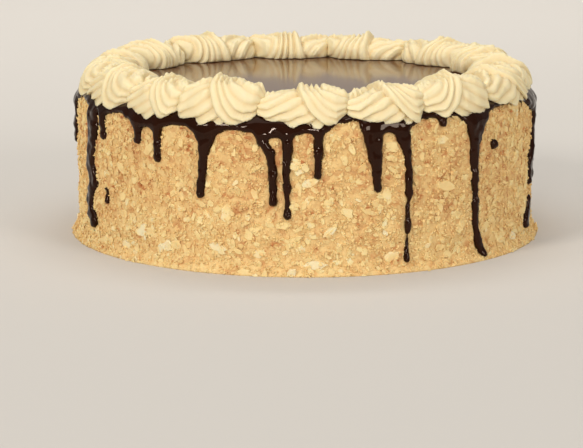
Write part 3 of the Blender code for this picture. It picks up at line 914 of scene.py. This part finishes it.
def leaning(angle, tilt, rng):
    """Three axes for each nut: two that lie on the side at this angle, turned any way, and
    one that faces out. They lean by about this tilt."""
    count = len(angle)
    turn = np.radians(angle)
    zero = np.zeros(count)
    out = np.stack([np.sin(turn), -np.cos(turn), zero], axis=1)
    along = np.stack([np.cos(turn), np.sin(turn), zero], axis=1)
    up = np.stack([zero, zero, zero + 1], axis=1)
    spin = rng.uniform(0, math.tau, count)
    lean_a, lean_b = rng.normal(0, tilt, (2, count))
    first = np.cos(spin)[:, None] * along + np.sin(spin)[:, None] * up
    first += np.sin(lean_a)[:, None] * out
    first /= np.linalg.norm(first, axis=1)[:, None]
    facing = out + np.sin(lean_b)[:, None] * up
    facing -= (facing * first).sum(1)[:, None] * first
    facing /= np.linalg.norm(facing, axis=1)[:, None]
    return np.stack([first, np.cross(facing, first), facing], axis=2)


def strewn(name, shapes, angle, height, sizes, tilt, sunk, tints, rng):
    """One mesh of many small shapes pressed into the side at these places."""
    lowest = 0.15 * MM
    grid = leaning(angle, tilt, rng) * sizes[:, None, None]
    spots = around(angle, side_radius(height) - sunk, height)
    kinds = rng.integers(0, len(shapes), len(angle))
    corners, faces, shades = [], [], []
    total = 0
    for kind, (shape, triangles) in enumerate(shapes):
        chosen = np.nonzero(kinds == kind)[0]
        placed = np.einsum("kij,nj->kni", grid[chosen], shape) + spots[chosen][:, None, :]
        starts = total + np.arange(len(chosen)) * len(shape)
        corners.append(placed.reshape(-1, 3))
        faces.append((triangles[None] + starts[:, None, None]).reshape(-1, 3))
        shades.append(np.repeat(tints[chosen], len(shape)))
        total += len(chosen) * len(shape)
    mesh = bpy.data.meshes.new(name)
    corners = np.concatenate(corners)
    corners[:, 2] = np.maximum(corners[:, 2], lowest)
    mesh.from_pydata(corners.tolist(), [], np.concatenate(faces).tolist())
    tint = mesh.attributes.new("tint", "FLOAT", "POINT")
    tint.data.foreach_set("value", np.concatenate(shades))
    return mesh


class CAKE_OT_press_nuts(bpy.types.Operator):
    """Press the chopped and flaked nuts into the side of the cake"""

    bl_idname = "cake.press_nuts"
    bl_label = "Press nuts"

    def crust(self, settings):
        """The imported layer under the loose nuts, turned and then made lumpy."""
        sunk, columns, rows = 0.4 * MM, 900, 82
        pebble, pebble_rise, most = 2.2 * MM, 0.5 * MM, 0.9 * MM
        centre, start = SHOULDER_CENTRE
        bend = SHOULDER_RADIUS - sunk
        points = [(0.0, CAKE_HEIGHT - sunk)]
        for turn in range(0, 90, 15):
            reach, rise = math.sin(math.radians(turn)), math.cos(math.radians(turn))
            points.append((centre + bend * reach, start + bend * rise))
        heights = np.linspace(start, 0.0, rows)
        points += [(float(side_radius(height)) - sunk, float(height)) for height in heights]
        points.append((0.0, 0.0))
        bm, across, down = lattice(columns, len(points) - 1)
        row = np.rint(down * (len(points) - 1)).astype(int)
        outline = np.array(points)
        move_to(bm, around(across * 360, outline[row, 0], outline[row, 1]))
        bmesh.ops.remove_doubles(bm, verts=bm.verts, dist=MERGE)
        bmesh.ops.recalc_face_normals(bm, faces=bm.faces)

        spots = np.array([tuple(vert.co) for vert in bm.verts])
        lumps = pebble_rise * (pebbled(spots, pebble) - 0.5) + swell(spots)
        flat = np.hypot(spots[:, 0], spots[:, 1])
        side = smooth(flat, centre, centre + 5 * MM) * smooth(spots[:, 2], 0.0, 1.5 * MM)
        out = spots / np.maximum(flat, 1e-6)[:, None]
        out[:, 2] = 0
        move_to(bm, spots + out * (np.minimum(lumps, most) * side)[:, None])
        mesh = mesh_of(bm, "nut_crust")
        add_piece("nut_crust", mesh, crust_finish(settings), "nut_coat", "cake_body")

    def scatter(
        self, name, kind, count, look, size, tilt, rise, seed, gathered=False, placed=()
    ):
        """Strews one kind of nut over the side, clear of the glaze and its drips. Each stands
        out by a share of its size that lies between the two of the rise."""
        rng = np.random.default_rng(seed)
        foot_share, foot, variety, gap = 0.12, 6 * MM, 0.28, 0.3
        angle = rng.uniform(-180, 180, count)
        height = rng.uniform(0, 80.5 * MM, count)
        if kind == "crumb":
            low = rng.uniform(0, 1, count) < foot_share
            height = np.where(low, rng.uniform(0, foot, count), height)
        sizes = np.exp(rng.normal(0, variety, count)) * size
        clear = glaze_field(angle, travel(height)) > gap * sizes
        if gathered:
            spots = around(angle, side_radius(height), height)
            clear &= rough(spots, 8 * MM, 17.0) > rng.uniform(-0.1, 0.6, count)
        angle, height, sizes = angle[clear], height[clear], sizes[clear]
        if placed:
            angle = np.append(angle, [row[0] for row in placed])
            height = np.append(height, [row[1] * MM for row in placed])
            sizes = np.append(sizes, [row[2] * MM for row in placed])
        spots = around(angle, side_radius(height), height)
        sunk = -swell(spots) - rng.uniform(*rise, len(angle)) * sizes
        tints = rng.beta(3, 3, len(angle))
        shapes = nut_shapes(kind, random.Random(seed))
        mesh = strewn(name, shapes, angle, height, sizes, tilt, sunk, tints, rng)
        add_piece(name, mesh, look, "nut_coat", "cake_body")

    def execute(self, context):
        settings = context.scene.cake_nuts
        self.crust(settings)
        golden = nut_finish("golden_nut", settings, low=0.34, high=0.70)
        pale = nut_finish("pale_flake", settings, low=0.44, high=0.86)
        blanched = nut_finish("blanched_flake", settings, low=0.60, high=0.98)
        dark = nut_finish("toasted_nut", settings, low=-0.04, high=0.32)
        self.scatter(
            "golden_nuts", "chip", settings.chips, golden,
            size=2.0 * MM, tilt=0.3, rise=(-0.24, 0.02), seed=1,
        )
        self.scatter(
            "pale_flakes", "flake", settings.flakes, pale,
            size=3.6 * MM, tilt=0.16, rise=(-0.10, 0.0), seed=2,
        )
        self.scatter(
            "broad_flakes", "flake", settings.broad_flakes, blanched,
            size=7.0 * MM, tilt=0.06, rise=(-0.08, -0.03), seed=5, placed=FRONT_FLAKES,
        )
        # Toasted bits, darkened in part to paint the shade of small crevices between the nuts
        self.scatter(
            "toasted_and_shade_bits", "chip", settings.toasted, dark,
            size=1.9 * MM, tilt=0.4, rise=(-0.25, 0.05), seed=3, gathered=True,
        )
        self.scatter(
            "nut_crumbs", "crumb", settings.crumbs, golden,
            size=1.2 * MM, tilt=0.5, rise=(-0.2, 0.3), seed=4,
        )
        return {"FINISHED"}


def area_light(name, place, target, size, power, colour):
    """A soft square light that points at the target."""
    lamp = bpy.data.lights.new(name, "AREA")
    lamp.size = size
    lamp.energy = power
    lamp.color = colour
    light = bpy.data.objects.new(name, lamp)
    light.location = place
    aim = Vector(target) - Vector(place)
    light.rotation_euler = aim.to_track_quat("-Z", "Y").to_euler()
    bpy.context.scene.collection.objects.link(light)


class CAKE_OT_set_stage(bpy.types.Operator):
    """Set the pale floor, the soft light and the camera"""

    bl_idname = "cake.set_stage"
    bl_label = "Set stage"

    def floor(self, settings):
        """The floor, which bends up into the backdrop behind the cake."""
        reach, back, bend, steps, wall = 6.0, 3.0, 1.5, 24, 4.0
        bm = bmesh.new()
        chain = [bm.verts.new((-reach, y, 0.0)) for y in (-reach, back)]
        bm.edges.new(chain)
        bmesh.ops.spin(
            bm, geom=[chain[1]], cent=(0, back, bend), axis=(1, 0, 0), angle=math.pi / 2,
            steps=steps,
        )
        highest = max(bm.verts, key=lambda vert: vert.co.z)
        grown = bmesh.ops.extrude_vert_indiv(bm, verts=[highest])
        bmesh.ops.translate(bm, verts=grown["verts"], vec=(0, 0, wall))
        swept = grown_verts(bmesh.ops.extrude_edge_only(bm, edges=bm.edges))
        bmesh.ops.translate(bm, verts=swept, vec=(2 * reach, 0, 0))
        bmesh.ops.recalc_face_normals(bm, faces=bm.faces)
        floor = bpy.data.objects.new("floor", mesh_of(bm, "floor"))
        floor.data.materials.append(floor_finish(settings))
        bpy.context.scene.collection.objects.link(floor)

    def execute(self, context):
        scene = context.scene
        settings = scene.cake_stage
        self.floor(settings)
        world = scene.world or bpy.data.worlds.new("studio")
        scene.world = world
        world.use_nodes = True
        sky = world.node_tree.nodes["Background"]
        sky.inputs["Color"].default_value = (1.0, 0.985, 0.96, 1.0)
        sky.inputs["Strength"].default_value = settings.daylight
        for lamp in LAMPS:
            area_light(*lamp)

        lens = bpy.data.cameras.new("camera")
        lens.lens = settings.lens
        lens.sensor_width = 36
        lens.clip_end = 50
        camera = bpy.data.objects.new("camera", lens)
        camera.location = CAMERA_PLACE
        camera.rotation_euler = (math.radians(90 - CAMERA_DOWN), 0, math.radians(CAMERA_TURN))
        scene.collection.objects.link(camera)
        scene.camera = camera
        scene.view_settings.view_transform = "Standard"
        return {"FINISHED"}


class CAKE_PT_panel(bpy.types.Panel):
    """The cake's steps in the sidebar"""

    bl_idname = "CAKE_PT_panel"
    bl_label = "Chocolate layer cake"
    bl_space_type = "VIEW_3D"
    bl_region_type = "UI"
    bl_category = "Cake"

    def draw(self, context):
        for step in STEPS:
            self.layout.operator(step.bl_idname)


STEPS = (CAKE_OT_set_stage, CAKE_OT_press_nuts, CAKE_OT_pour_glaze, CAKE_OT_pipe_swirls)
GROUPS = {
    "cake_stage": StageSettings, "cake_nuts": NutSettings, "cake_glaze": GlazeSettings,
    "cake_swirls": SwirlSettings,
}


def register():
    for name, group in GROUPS.items():
        bpy.utils.register_class(group)
        setattr(bpy.types.Scene, name, bpy.props.PointerProperty(type=group))
    for step in (*STEPS, CAKE_PT_panel):
        bpy.utils.register_class(step)


def unregister():
    for step in (*STEPS, CAKE_PT_panel):
        bpy.utils.unregister_class(step)
    for name, group in GROUPS.items():
        delattr(bpy.types.Scene, name)
        bpy.utils.unregister_class(group)


def main():
    register()
    bpy.ops.cake.set_stage()
    bpy.ops.cake.press_nuts()
    bpy.ops.cake.pour_glaze()
    bpy.ops.cake.pipe_swirls()


if __name__ == "__main__":
    main()
